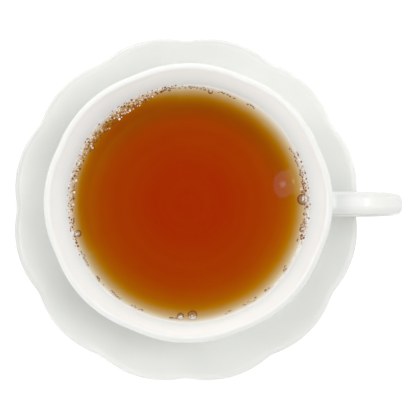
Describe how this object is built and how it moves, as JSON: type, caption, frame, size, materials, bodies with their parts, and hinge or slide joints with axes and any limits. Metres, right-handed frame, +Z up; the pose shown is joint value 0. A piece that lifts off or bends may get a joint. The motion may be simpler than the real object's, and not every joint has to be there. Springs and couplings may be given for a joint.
{
  "type": "cup of tea with saucer",
  "caption": "Lobed white porcelain cup with an ear handle, filled with clear red-brown tea, standing on a scalloped saucer.",
  "frame": {"origin": "on the saucer's axis, in the plane that its foot ring stands on", "axes": "+Z up, +X from the saucer's axis towards the cup's handle, +Y across"},
  "size_m": [0.1546, 0.1398, 0.0602],
  "materials": {
    "porcelain": "clear gloss glaze over white porcelain",
    "tea": "clear red-brown liquid, golden in the thin layer at the wall"
  },
  "bodies": {
    "root": {"saucer": "porcelain", "cup": "porcelain", "tea": "tea"}
  },
  "joints": []
}
